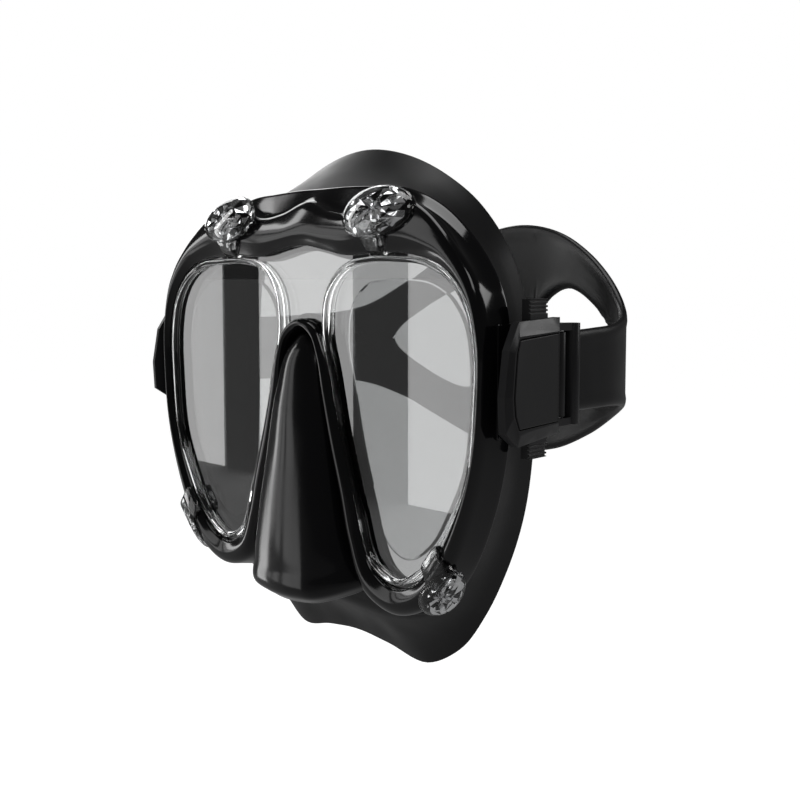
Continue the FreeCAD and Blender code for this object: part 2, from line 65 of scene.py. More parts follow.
# ---------------------------------------------------------------- outlines and sizes, mm
# X is the wearer's left, Y the back, Z up. Frame and skirt outlines are (x, z) from the middle of the
# brow round one eye to the middle line again. They follow the CAD part, with a rounder nose arch, a
# wider top on the nose pocket and a higher skirt edge at the pocket's lower corners.
LIP_FRONT, LIP_REAR = -22.2, -20.3       # Y of the frame's lip in front of the pane
CREST_FRONT = -23.6
FRAME_REAR, FRAME_REAR_EDGE = -14, -14.9
BROW_START, BROW_LEAN = 46, 0.3          # the brow leans back above this height
GROOVE_PLACE = 0.42                      # share of the way from the outer front to the outer rear
SEAT_WIDTH = 2.0
RAIL_STEPS, ROUND_STEPS = 7, 5
OPENING = [(0, 41.6), (9, 40.5), (18, 39.0), (30, 39.4), (42, 39.0), (53, 36.2),
           (60.8, 29.4), (64.7, 19.5), (64.8, 8), (63, -6), (58.2, -18.5), (51, -30.2),
           (43.5, -37.2), (36.5, -39.4), (29, -36.6), (24.4, -28.5), (21, -17.5), (17, -6),
           (13.2, 6), (9.9, 15.6), (6.4, 21.2), (0, 23.4)]
CREST = [(0, 45.5), (9.3, 44.6), (18.5, 44.3), (31, 45.6), (44, 44), (54.8, 39),
         (62.6, 30.6), (66, 20), (66.2, 7.6), (64.5, -6.6), (60.2, -19.6), (53, -32.3),
         (44.6, -40.4), (36.3, -42.8), (26.6, -39.4), (21.4, -29.4), (18.2, -18.4), (14.4, -7.2),
         (10.9, 5), (8.5, 14.3), (5.9, 19.4), (0, 22.2)]
OUTER_FRONT = [(0, 52.8), (9.8, 50.4), (19.5, 49.6), (32, 54.2), (45.8, 50.2), (56.8, 41.6),
               (64.4, 32), (66.9, 20.4), (67.1, 7.2), (65.6, -7.2), (61.4, -20.6), (54.4, -34),
               (45.6, -43), (36, -45.6), (24.8, -41.6), (19.2, -30.2), (16, -19.2), (12.4, -8),
               (9.2, 4.2), (7.8, 13.3), (5.6, 18.1), (0, 20.9)]
OUTER_REAR = [(0, 56), (10.4, 56), (20.6, 55.6), (33, 54.6), (46.8, 49.4), (57.6, 41),
              (64.8, 31), (67.3, 20.6), (67.5, 7), (66.1, -7.4), (62, -21.2), (54.8, -34.6),
              (45.6, -43.8), (36, -46.6), (25, -42.6), (19.6, -30.4), (16.4, -19.4), (12.8, -8.2),
              (9.6, 4), (8.2, 13), (6, 17.8), (0, 20.5)]
SCALLOP = [1.6, 3.4, 4.0, 3.2, 2.4, 1.2, 0.4] + [0.0] * 15    # depth of the groove, brow to nose
FRAME_RADII = [0.7, 2.2, 2.6, 2.5, 0.8, 0.4, 0.2, 0.2, 0.4]
LUG = [(-18.4, -1.5), (-13.4, -1.5), (-13.2, 5), (-11, 5.4), (-7.2, 7.2), (-5.6, 11), (-7.2, 14.8),
       (-11, 16.6), (-13.2, 17), (-13.4, 23.8), (-18.4, 23.8)]
LUG_FACES = (65.3, 67.6)
RING = [(37, 38.6), (47.6, 37.6), (55.8, 34), (61.6, 27.4), (64.1, 18), (64, 6),
        (61.4, -11.5), (56, -21.8), (46.6, -33.8), (37, -38.4), (28.4, -35.4), (22.6, -23.5),
        (16.7, -8.2), (11.8, 10), (8.9, 20.5), (10.6, 30.6), (17.5, 36.8), (27, 38.6)]
RING_REAR, RING_FRONT, RING_CREST, RING_INNER = -20.35, -21.9, -22.15, -21.6
RING_WIDTH = 1.4
SKIRT_FRONT, SKIRT_FLANGE_REAR = -13.9, -12.1
SKIRT_WAIST = 0.98                       # width of the wall's middle against its ends
SKIRT_MIDDLE = -6.0
SKIRT_BEAD = 0.78                        # share of the way from the middle to the rim
SKIRT_WALL = 1.8
SKIRT_RADII = [0.3, 2.4, 6, 2.0, 1.1, 0.5, 0.5, 1.5, 4, 1.5, 0.3]
SKIRT_INNER = [(0, 41.6), (15, 39), (30, 39), (43, 38.2), (54, 34.4), (61.2, 26), (62.2, 13),
               (61, -4), (56.4, -18.6), (50, -29.6), (43, -36.6), (33.4, -39.2), (24.4, -38.9),
               (13, -41), (0, -41.6)]
SKIRT_SHOULDER = [(0, 54), (16.5, 53.8), (31, 52.6), (45.6, 46.6), (57, 38.2), (64, 28.6), (65, 13),
                  (64.4, -4), (61, -19), (53.4, -33.4), (44.8, -43), (34, -47.6), (23, -48.8),
                  (12, -48.8), (0, -48.6)]
SKIRT_RIM = [(0, 67, 0), (16, 64.6, 0.2), (30.4, 58.8, 0.6), (42.8, 50.4, 1.2), (51, 39.4, 2.4),
             (55.2, 26, 3.6), (57, 11, 4.4), (57.2, -6, 4), (55.8, -22, 2.6), (52, -35.5, 1),
             (45.6, -48, 0), (37.4, -58, -0.6), (26.6, -63.8, -2), (12.6, -61.6, -3.2), (0, -60.4, -3.6)]
# nose pocket, downwards: height, half width front and rear, Y of the front, drop towards the front
POCKET = [(19.4, 4.0, 4.6, -21.4, 0), (16, 6.0, 6.8, -24.0, 0.3), (6, 8.6, 9.4, -26.4, 0.6),
          (-10, 12, 13.4, -27.8, 1.5), (-25, 14.6, 17.8, -29.2, 3), (-35, 16.2, 21.8, -29.8, 5),
          (-39.5, 16.4, 23.8, -29.8, 6), (-42.8, 13.5, 21, -26.6, 5.2)]
POCKET_REAR = SKIRT_FRONT
POCKET_WALL = 1.7
# strap, from the buckle to the back of the head: x, y, lower edge, upper edge
STRAP = [(60.2, 20, 2.5, 21.8), (57.2, 31, 2.2, 22.4), (51.5, 41.3, 0.8, 24.6),
         (41.5, 49.2, -3.4, 31.6), (28.5, 54, -9.8, 40.2), (14, 56.4, -15.2, 46.6),
         (0, 57, -17.0, 48.6)]
STRAP_END = {"along": (27, 20, 13.2), "across": -4.15, "edges": (2.7, 21.5)}    # in the buckle
STRAP_SLOT = [(6.5, 15.5), (9.4, 25.4), (19, 30.4), (31, 26.4), (44, 14.5), (31, 3.6), (19, 0.6),
              (9.4, 5.6)]
SLOT_MIDDLE = 15.2
SLOT_FADE = 8                            # length over which the rows turn from the slot to the middle
STRAP_BACK = 45                          # the slot lies behind this Y
STRAP_THICKNESS = 2.2
STRAP_STEPS = 16
STRAP_SHARES = (0, 0.012, 0.035, 0.07, 0.12, 0.18, 0.3, 0.42, 0.5, 0.58, 0.7, 0.82, 0.88, 0.93,
                0.965, 0.988, 1)         # rows from the slot to the edge, closer at both
BEAD_HEIGHT, BEAD_PLACE, BEAD_SPREAD = 0.22, 2.0, 0.9
FACE_SUNK, FACE_STARTS = 0.18, 1.1
GRIP_RADIUS, GRIP_HEIGHT, GRIP_PITCH = 0.65, 0.45, 3.4
BUCKLE_ORIGIN = (72.3, -17.0)
BUCKLE_TOE_IN = radians(12)
CLIPS = {
    "top": {"centre": (31.8, -22.6, 49.0), "normal": (0.05, -0.90, 0.42), "along": (1, 0, 0.03),
            "half": (11.5, 6.4, 3.4)},
    "bottom": {"centre": (52.4, -20.6, -37.6), "normal": (0.52, -0.68, -0.52),
               "along": (0.7, 0, 0.7), "half": (7.6, 4.2, 2.8)},
}
CLIP_EDGE = ((1.0, 0.42), (1.035, 0.30), (1.05, 0.05), (1.045, -0.5), (0.98, -1.2))
NECK_X = 30.8
NECK_PATH = [(-22.2, 38.7), (-23.8, 40.3), (-24.9, 42.6), (-25.2, 44.6), (-24.9, 46.6)]
NECK_WIDTHS = [(2.7, 2.7), (2.5, 2.8), (3.0, 3.3), (5.4, 4.9), (9.4, 7.6)]
NECK_RADII = [0.7, 0.7, 0.3, 0.3]
CLIP_TAB = [(48.2, -31.6), (53.2, -25.6), (58.2, -31.6), (51.6, -38.4)]
CLIP_TAB_FACES = (-24.0, -21.6)
FACETS = 17
INSERT_CENTRE = (38.5, 0, 1.0)
INSERT_WIDTH, INSERT_HEIGHT = 0.8, 0.86  # against the ring
INSERT_LEVELS = ((0.0, -17.05), (0.99, -17.05), (1.0, -16.8), (1.0, -16.0), (0.99, -15.75), (0.0, -15.75))
EDGE_WIDTHS = {"buckle_body": 0.25, "buckle_cover": 0.2, "button": 0.15, "roller": 0.2}
SIDES = {"left": 1, "right": -1}


# ---------------------------------------------------------------- materials
def material(name, base, roughness, spread=0.05, grain=900.0, bump=0.1, mottle=0.0, **sockets):
    """Principled material with fine surface grain, uneven polish and slightly uneven colour."""
    made = bpy.data.materials.new(name)
    made.use_nodes = True
    tree = made.node_tree
    shader = tree.nodes["Principled BSDF"]
    shader.inputs["Base Color"].default_value = (*base, 1)
    for socket, value in sockets.items():
        shader.inputs[socket.replace("_", " ")].default_value = value
    place = tree.nodes.new("ShaderNodeTexCoord").outputs["Object"]

    def noise(scale, detail):
        node = tree.nodes.new("ShaderNodeTexNoise")
        node.inputs["Scale"].default_value = scale
        node.inputs["Detail"].default_value = detail
        tree.links.new(place, node.inputs["Vector"])
        return node.outputs["Fac"]

    polish = tree.nodes.new("ShaderNodeMapRange")
    polish.inputs["From Min"].default_value = 0.35
    polish.inputs["From Max"].default_value = 0.65
    polish.inputs["To Min"].default_value = max(roughness - spread, 0.0)
    polish.inputs["To Max"].default_value = roughness + spread
    tree.links.new(noise(60, 4), polish.inputs["Value"])
    tree.links.new(polish.outputs["Result"], shader.inputs["Roughness"])
    if mottle:
        mix = tree.nodes.new("ShaderNodeMix")
        mix.data_type = "RGBA"
        mix.inputs["A"].default_value = (*base, 1)
        mix.inputs["B"].default_value = (*[c * (1 + mottle) for c in base], 1)
        tree.links.new(noise(35, 6), mix.inputs["Factor"])
        tree.links.new(mix.outputs["Result"], shader.inputs["Base Color"])
    if bump:
        relief = tree.nodes.new("ShaderNodeBump")
        relief.inputs["Strength"].default_value = bump
        relief.inputs["Distance"].default_value = 0.05 * MM
        tree.links.new(noise(grain, 3), relief.inputs["Height"])
        tree.links.new(relief.outputs["Normal"], shader.inputs["Normal"])
    return made


# base colour, roughness and its spread, scale of the grain, bump, mottle, other sockets
M = {
    "frame_plastic": material("frame_plastic", (0.002, 0.002, 0.0023), 0.10, 0.02, 400, 0.03,
                              Specular_IOR_Level=0.36),
    "skirt_silicone": material("skirt_silicone", (0.003, 0.003, 0.0033), 0.40, 0.05, 1500, 0.2, 0.5,
                               Specular_IOR_Level=0.2),
    "pocket_silicone": material("pocket_silicone", (0.002, 0.002, 0.0023), 0.15, 0.03, 1200, 0.05, 0.4,
                                Specular_IOR_Level=0.3),
    "strap_silicone": material("strap_silicone", (0.003, 0.003, 0.0033), 0.34, 0.05, 1400, 0.2, 0.5,
                               Specular_IOR_Level=0.25),
    "clear_plastic": material("clear_plastic", (0.96, 0.97, 0.97), 0.03, 0.015, 300, 0.03,
                              Transmission_Weight=1.0, IOR=1.49),
    "pane_glass": material("pane_glass", (0.36, 0.365, 0.365), 0.01, 0.005, 100, 0.0,
                           Transmission_Weight=1.0, IOR=1.45, Coat_Weight=1.0,
                           Coat_IOR=1.7, Coat_Roughness=0.0),
    "insert_glass": material("insert_glass", (0.97, 0.98, 0.98), 0.01, 0.005, 100, 0.0,
                             Transmission_Weight=1.0, IOR=1.5),
    "retainer_plastic": material("retainer_plastic", (0.012, 0.012, 0.013), 0.45, 0.06, 1600, 0.3, 0.4),
    "buckle_plastic": material("buckle_plastic", (0.006, 0.006, 0.0065), 0.32, 0.05, 1800, 0.25, 0.4,
                               Specular_IOR_Level=0.32),
    "cover_plastic": material("cover_plastic", (0.009, 0.009, 0.0095), 0.36, 0.05, 1800, 0.3, 0.4,
                              Specular_IOR_Level=0.3),
    "button_plastic": material("button_plastic", (0.007, 0.007, 0.0075), 0.30, 0.05, 1800, 0.25, 0.4,
                               Specular_IOR_Level=0.4),
    "roller_plastic": material("roller_plastic", (0.006, 0.006, 0.0065), 0.38, 0.05, 1500, 0.2, 0.3,
                               Specular_IOR_Level=0.3),
    "screw_steel": material("screw_steel", (0.62, 0.62, 0.63), 0.24, 0.06, 700, 0.1, 0.1, Metallic=1.0),
    "stud_steel": material("stud_steel", (0.58, 0.58, 0.59), 0.26, 0.06, 700, 0.1, 0.1, Metallic=1.0),
    "axle_steel": material("axle_steel", (0.58, 0.58, 0.59), 0.26, 0.06, 700, 0.1, 0.1, Metallic=1.0),
    "spring_steel": material("spring_steel", (0.60, 0.60, 0.61), 0.22, 0.06, 900, 0.1, 0.1,
                             Metallic=1.0),
    "reflector_mirror": material("reflector_mirror", (0.88, 0.88, 0.89), 0.06, 0.03, 400, 0.05,
                                 Metallic=1.0),
}


# ---------------------------------------------------------------- mesh helpers
def smooth(stations, count, closed):
    """Points on a smooth curve through the stations; a station is one point or one section."""
    points = np.array(stations, float)
    if points.ndim == 2:
        points = points[:, None]
    if closed:
        points = np.concatenate([points[-1:], points, points[:2]])
    else:
        points = np.concatenate([2 * points[:1] - points[1:2], points, 2 * points[-1:] - points[-2:-1]])
    step = np.linalg.norm(np.diff(points, axis=0), axis=2).mean(1)[:, None, None]
    slope = np.diff(points, axis=0) / step
    tangent = (slope[:-1] * step[1:] + slope[1:] * step[:-1]) / (step[1:] + step[:-1])
    rows = []
    for i in range(len(tangent) - 1):
        start, end = points[i + 1], points[i + 2]
        first, last = tangent[i] * step[i + 1], tangent[i + 1] * step[i + 1]
        for u in np.arange(count) / count:
            rows.append((2 * u**3 - 3 * u**2 + 1) * start + (u**3 - 2 * u**2 + u) * first
                        + (3 * u**2 - 2 * u**3) * end + (u**3 - u**2) * last)
    if not closed:
        rows.append(points[-2])
    return np.array(rows)


def rounded(sections, radii, steps=4, closed=True):
    """Sections with each corner turned into a curve of about that radius."""
    sections = np.array(sections, float)
    before, after = np.roll(sections, 1, axis=1), np.roll(sections, -1, axis=1)
    out = []
    for corner, radius in enumerate(radii):
        point = sections[:, corner]
        a, b = before[:, corner] - point, after[:, corner] - point
        if not closed and corner in (0, len(radii) - 1) or not radius:
            out.append(point)
            continue
        size_a = np.linalg.norm(a, axis=1, keepdims=True)
        size_b = np.linalg.norm(b, axis=1, keepdims=True)
        start = point + a * np.minimum(radius / size_a, 0.48)
        end = point + b * np.minimum(radius / size_b, 0.48)
        for u in np.arange(steps + 1) / steps:
            out.append((1 - u)**2 * start + 2 * u * (1 - u) * point + u**2 * end)
    return np.stack(out, 1)


def full_ring(half):
    """Stations from X = 0 round to X = 0 again, completed to a closed ring."""
    half = np.array(half, float)
    return np.concatenate([half, half[-2:0:-1] * (-1, 1, 1)])


def pushed(points, distance, closed=False):
    """2D outline moved to the left of its direction; an open one goes on mirrored past its ends."""
    count = len(points)
    moved = []
    for i, (x, z) in enumerate(points):
        ahead, behind = points[(i + 1) % count], points[i - 1]
        if not closed and i == count - 1:
            ahead = (-behind[0], behind[1])
        if not closed and i == 0:
            behind = (-ahead[0], ahead[1])
        dx, dz = ahead[0] - behind[0], ahead[1] - behind[1]
        size = (dx * dx + dz * dz)**0.5
        moved.append((x - dz / size * distance, z + dx / size * distance))
    return moved


def at_depth(points, y):
    return [(x, y, z) for x, z in points]


def between(first, second, share):
    return np.array(first, float) * (1 - share) + np.array(second, float) * share


def piece(name, bm, slot, body, flat=False, sharp=40):
    """Object from a bmesh in mm; it rides on a body and takes the slot's material."""
    bmesh.ops.remove_doubles(bm, verts=bm.verts, dist=0.002)
    bmesh.ops.recalc_face_normals(bm, faces=bm.faces)
    mesh = bpy.data.meshes.new(name)
    bm.to_mesh(mesh)
    bm.free()
    mesh.transform(Matrix.Scale(MM, 4))
    mesh.polygons.foreach_set("use_smooth", [not flat] * len(mesh.polygons))
    if not flat:
        mesh.set_sharp_from_angle(angle=radians(sharp))
    mesh.materials.append(M[slot])
    made = bpy.data.objects.new(name, mesh)
    bpy.context.scene.collection.objects.link(made)
    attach(made, body)
    return made


def add_grid(bm, grid, wrap_rows=True, wrap_columns=True, caps=False):
    """Quads over rows of points."""
    rows = [[bm.verts.new(point) for point in row] for row in grid]
    count = len(rows[0])
    for i in range(len(rows) if wrap_rows else len(rows) - 1):
        for j in range(count if wrap_columns else count - 1):
            a, b = rows[i], rows[(i + 1) % len(rows)]
            bm.faces.new((a[j], a[(j + 1) % count], b[(j + 1) % count], b[j]))
    if caps:
        bm.faces.new(rows[0])
        bm.faces.new(rows[-1])
    return rows


def mirror_bm(bm):
    bmesh.ops.scale(bm, vec=(-1, 1, 1), verts=bm.verts)
    bmesh.ops.reverse_faces(bm, faces=bm.faces)


def add_plate(bm, outline, place, low, high, corner=1.0, edge=0.4):
    """Plate with rounded corners and softened edges; place turns (u, v, height) into a point."""
    flat = np.array([(u, v, 0) for u, v in outline], float)[None]
    loop = rounded(flat, [corner] * len(outline))[0]
    away = loop - loop.mean(0)
    away /= np.linalg.norm(away, axis=1, keepdims=True)

    def level(height, inset):
        return [place(u, v, height) for u, v, _ in loop - away * inset]

    soft = edge * 0.3
    levels = [level(low, edge), level(low + soft, soft), level(low + edge, 0),
              level(high - edge, 0), level(high - soft, soft), level(high, edge)]
    add_grid(bm, levels, wrap_rows=False, caps=True)


# ---------------------------------------------------------------- frame
def build_frame():
    """Rim with a lip, a crest, a scalloped outer groove and the pane's seat, and a lug on each side."""
    front = [(x, LIP_FRONT + BROW_LEAN * max(z - BROW_START, 0), z) for x, z in OUTER_FRONT]
    groove = between(front, at_depth(OUTER_REAR, FRAME_REAR), GROOVE_PLACE)
    inward = np.array(at_depth(pushed(OUTER_REAR, -1), 0)) - np.array(at_depth(OUTER_REAR, 0))
    groove += inward * np.array(SCALLOP)[:, None]
    seat = pushed(OPENING, SEAT_WIDTH)
    rails = [at_depth(OPENING, LIP_FRONT), at_depth(CREST, CREST_FRONT), front, groove,
             at_depth(OUTER_REAR, FRAME_REAR_EDGE), at_depth(OUTER_REAR, FRAME_REAR),
             at_depth(seat, FRAME_REAR), at_depth(seat, LIP_REAR), at_depth(OPENING, LIP_REAR)]
    stations = np.stack([np.array(rail, float) for rail in rails], 1)
    grid = rounded(smooth(full_ring(stations), RAIL_STEPS, True), FRAME_RADII, ROUND_STEPS)
    bm = bmesh.new()
    add_grid(bm, grid)
    for sign in SIDES.values():
        add_plate(bm, LUG, lambda u, v, h: (sign * h, u, v), *LUG_FACES, corner=0.8, edge=0.3)
    made = piece("frame_rim", bm, "frame_plastic", "mask")
    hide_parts("frame")


# ---------------------------------------------------------------- silicone
def build_skirt():
    """Hollow silicone wall from the flange behind the frame to the lip on the face."""
    flange = np.array(at_depth(SKIRT_INNER, SKIRT_FRONT), float)
    shoulder = np.array(at_depth(SKIRT_SHOULDER, SKIRT_FRONT), float)
    rim = np.array([(x, y, z) for x, z, y in SKIRT_RIM], float)
    middle = between(shoulder, rim, 0.5)
    middle[:, 0] *= SKIRT_WAIST
    middle[:, 1] = (SKIRT_MIDDLE + middle[:, 1]) / 2
    bead = between(middle, rim, SKIRT_BEAD)

    def inside(rail, wall, back=0.0):
        flat = pushed([(p[0], p[2]) for p in rail], -wall)
        return np.array([(x, p[1] + back, z) for (x, z), p in zip(flat, rail)])

    outer = [flange, shoulder, middle, bead, rim]
    inner = [inside(rim, 4.6, -0.9), inside(rim, 4.4, -1.9), inside(bead, 2.0),
             inside(middle, SKIRT_WALL), inside(shoulder, SKIRT_WALL, SKIRT_WALL),
             np.array(at_depth(SKIRT_INNER, SKIRT_FLANGE_REAR), float)]
    stations = np.stack(outer + inner, 1)
    grid = rounded(smooth(full_ring(stations), RAIL_STEPS, True), SKIRT_RADII, ROUND_STEPS)
    bm = bmesh.new()
    add_grid(bm, grid)
    made = piece("skirt_seal", bm, "skirt_silicone", "mask", sharp=70)
    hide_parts("skirt")


def pocket_section(height, front_half, rear_half, front, drop):
    """Section of the nose cup, lower in front, with a rounded front between flared flanks."""
    rear = POCKET_REAR
    shoulder = front + 0.28 * (rear - front)
    flank = (front_half * 0.45 + rear_half * 0.55, shoulder * 0.5 + rear * 0.5)
    half = [(0, front - 0.1), (front_half * 0.4, front + 0.3), (front_half * 0.78, front + 1.6),
            (front_half, shoulder), flank, (rear_half, rear)]
    points = [(-x, y) for x, y in half[:0:-1]] + half
    return [(x, y, height - drop * (rear - y) / (rear - front)) for x, y in points]


def dome(edge, sink, rise):
    """Rings from a section in to a point in its rear plane, from the edge inwards, for a domed end."""
    centre = np.array((0, POCKET_REAR, edge[0][2] - sink))
    return [centre + (edge - centre) * share + np.array((0, 0, rise * (1 - share**2)))
            for share in (0.92, 0.8, 0.6, 0.3, 0.0)]


def build_pocket():
    """Nose cup, open to the back, with a domed end above and below."""
    sections = np.array([pocket_section(*row) for row in POCKET], float)
    rows = smooth(sections, 8, False)
    top, bottom = dome(rows[0], 0, 0.9), dome(rows[-1], 0.6, -1.0)
    rows = np.concatenate([np.array(top[::-1]), rows, np.array(bottom)])
    grid = smooth(rows.transpose(1, 0, 2), 5, False).transpose(1, 0, 2)
    bm = bmesh.new()
    add_grid(bm, grid, wrap_rows=False, wrap_columns=False)
    made = piece("nose_pocket_cup", bm, "pocket_silicone", "mask", sharp=70)
    wall = made.modifiers.new("wall", "SOLIDIFY")
    wall.thickness = POCKET_WALL * MM
    wall.offset = -1
    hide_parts("nose_pocket")


def buckle_point(along, across):
    """X and Y of a point given in the left buckle's own directions."""
    x = BUCKLE_ORIGIN[0] + across * cos(BUCKLE_TOE_IN) - along * sin(BUCKLE_TOE_IN)
    y = BUCKLE_ORIGIN[1] + across * sin(BUCKLE_TOE_IN) + along * cos(BUCKLE_TOE_IN)
    return x, y


def strap_path():
    """Dense centre line from behind the head to the end in the left buckle: X, Y, low, high."""
    ends = [(*buckle_point(along, STRAP_END["across"]), *STRAP_END["edges"])
            for along in STRAP_END["along"]]
    half = STRAP[::-1] + ends
    mirror = [(-x, y, low, high) for x, y, low, high in half[2:0:-1]]
    return smooth(mirror + half, STRAP_STEPS, False)[len(mirror) * STRAP_STEPS:, 0]


def slot_outline():
    """The slot's outline as x and z, and its upper and lower edge from left to right."""
    slot = smooth(at_depth(STRAP_SLOT, 0), 24, True)[:, 0][:, [0, 2]]
    top = slot[slot[:, 1] >= SLOT_MIDDLE]
    bottom = slot[slot[:, 1] <= SLOT_MIDDLE]
    return slot, top[np.argsort(top[:, 0])], bottom[np.argsort(bottom[:, 0])]


def strap_lift(gap):
    """Height of the strap's face over its middle surface, this far from the nearest edge."""
    half = STRAP_THICKNESS / 2
    round_off = (1 - max(1 - gap / half, 0)**2)**0.5
    bead = BEAD_HEIGHT * np.exp(-((gap - BEAD_PLACE) / BEAD_SPREAD)**2)
    sunk = FACE_SUNK if gap > FACE_STARTS else FACE_SUNK * gap / FACE_STARTS
    return half * round_off + (bead - sunk)


def build_strap():
    """Band with rounded edges, a bead along each edge and one long slot on either side of the back."""
    path = strap_path()
    run = np.concatenate([[0], np.cumsum(np.linalg.norm(np.diff(path[:, :2], axis=0), axis=1))])
    slot, top, bottom = slot_outline()
    left, right = slot[:, 0].min(), slot[:, 0].max()
    tips = [slot[np.argmin(slot[:, 0])][1], slot[np.argmax(slot[:, 0])][1]]
    back = path[:, 1] > STRAP_BACK
    inside = left + (right - left) * (1 - np.cos(np.linspace(0, pi, 41))) / 2
    along_slot = np.interp(inside, path[back][:, 0], run[back])
    first, last = along_slot[0], along_slot[-1]
    columns = np.unique(np.round(np.concatenate([np.linspace(0, first, 8), along_slot,
                                                 np.linspace(last, run[-1], 60)]), 4))
    cut = np.column_stack([np.interp(slot[:, 0], path[back][:, 0], run[back]), slot[:, 1]])

    def column(place, upper, face):
        """Points of one face at this distance along the strap, from the slot to one edge."""
        x, y, low, high = [np.interp(place, run, path[:, k]) for k in range(4)]
        ahead, behind = [[np.interp(place + step, run, path[:, k]) for k in (0, 1)]
                         for step in (0.3, -0.3)]
        dx, dy = ahead[0] - behind[0], ahead[1] - behind[1]
        normal = np.array((-dy, dx)) / (dx * dx + dy * dy)**0.5
        if first <= place <= last:
            edge = top if upper else bottom
            hole = np.interp(x, edge[:, 0], edge[:, 1])
        else:
            near, tip = (first, tips[0]) if place < first else (last, tips[1])
            fade = min(abs(place - near) / SLOT_FADE, 1)
            hole = tip * (1 - fade) + (low + high) / 2 * fade
        points = []
        for share in STRAP_SHARES:
            z = hole + ((high if upper else low) - hole) * share
            to_slot = np.hypot(cut[:, 0] - place, cut[:, 1] - z).min()
            if first < place < last and share == 0:
                to_slot = 0.0
            gap = max(min(abs(high - z), abs(z - low), to_slot, run[-1] - place), 0.0)
            px, py = np.array((x, y)) + normal * (face * strap_lift(gap))
            points.append((px, py, z))
        return points

    bm = bmesh.new()
    for upper in (True, False):
        for face in (1, -1):
            grid = [column(place, upper, face) for place in columns]
            add_grid(bm, grid, wrap_rows=False, wrap_columns=False)
    bmesh.ops.remove_doubles(bm, verts=bm.verts, dist=0.003)
    twin = bmesh.ops.duplicate(bm, geom=bm.verts[:] + bm.edges[:] + bm.faces[:])["geom"]
    bmesh.ops.scale(bm, vec=(-1, 1, 1), verts=[g for g in twin if isinstance(g, bmesh.types.BMVert)])
    made = piece("strap_band", bm, "strap_silicone", "left_buckle", sharp=70)
    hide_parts("strap")


def add_dome(bm, centre, along, up, outward):
    """Low round bump on a surface with the directions along and up, and its outward normal."""
    rows = []
    for turn in np.radians((100, 80, 60, 35, 12)):
        reach, rise = GRIP_RADIUS * sin(turn), GRIP_HEIGHT * cos(turn)
        rows.append([centre + (along * cos(t) + up * sin(t)) * reach + outward * rise
                     for t in np.linspace(0, 2 * pi, 13)[:-1]])
    rows = add_grid(bm, rows, wrap_rows=False)
    bm.faces.new(rows[-1])


def build_strap_grips():
    """Three rows of small bumps on the inner face of the strap, before each lobe."""
    path = strap_path()
    up = np.array((0, 0, 1.0))
    for side, sign in SIDES.items():
        bm = bmesh.new()
        for x_at in np.linspace(50.8, 57.6, 8):
            i = int(np.argmin(np.abs(path[:, 0] - x_at) + 100 * (path[:, 1] < 22)))
            along = path[i + 1, :2] - path[i - 1, :2]
            along /= np.linalg.norm(along)
            inward = np.array((-along[1], along[0]))
            if inward @ path[i, :2] > inward @ np.array((0, 20)):
                inward = -inward
            face = path[i, :2] + inward * (STRAP_THICKNESS / 2 - 0.2)
            middle = (path[i, 2] + path[i, 3]) / 2
            for row in (-1, 0, 1):
                add_dome(bm, np.array((*face, middle + GRIP_PITCH * row)),
                         np.array((*along, 0)), up, np.array((*inward, 0)))
        if sign < 0:
            mirror_bm(bm)
        piece(side + "_strap_grips", bm, "strap_silicone", "left_buckle")


# ---------------------------------------------------------------- rings and clips
def build_ring(side, sign):
    """Clear trim ring on the front of the pane."""
    middle, inner = pushed(RING, -RING_WIDTH / 2, True), pushed(RING, -RING_WIDTH, True)
    rails = [at_depth(RING, RING_REAR), at_depth(RING, RING_FRONT), at_depth(middle, RING_CREST),
             at_depth(inner, RING_INNER), at_depth(inner, RING_REAR)]
    stations = np.stack([np.array(rail, float) for rail in rails], 1)
    grid = rounded(smooth(stations, 8, True), [0.1, 0.4, 0.6, 0.4, 0.1], 4)
    bm = bmesh.new()
    add_grid(bm, grid)
    if sign < 0:
        mirror_bm(bm)
    made = piece(side + "_ring", bm, "clear_plastic", "mask")
    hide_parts(side + "_lens_ring")


def build_insert(side, sign):
    """Thin corrective lens behind the pane, with a polished bevel round its edge."""
    bm = bmesh.new()
    rows = []
    centre = np.array(INSERT_CENTRE)
    outline = smooth(at_depth(RING, 0), 8, True)[:, 0]
    for scale, y in INSERT_LEVELS:
        reach = (scale * INSERT_WIDTH, 1, scale * INSERT_HEIGHT)
        rows.append(centre + (outline - centre) * reach + np.array((0, y, 0)))
    add_grid(bm, rows, wrap_rows=False)
    if sign < 0:
        mirror_bm(bm)
    made = piece(side + "_insert", bm, "insert_glass", "mask", sharp=25)
    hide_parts(side + "_optical_insert")


def clip_axes(data):
    """A clip's long direction, its short one, its normal and its centre."""
    normal = Vector(data["normal"]).normalized()
    along = Vector(data["along"])
    along = (along - normal * along.dot(normal)).normalized()
    return along, normal.cross(along), normal, Vector(data["centre"])


def neck_section(y, z, left, right):
    """Section of a top clip's neck, slightly narrower at the back."""
    back, up, narrow = y + 1.4, z + 0.5, 0.97
    return [(NECK_X - left, y, z), (NECK_X + right, y, z), (NECK_X + right * narrow, back, up),
            (NECK_X - left * narrow, back, up)]


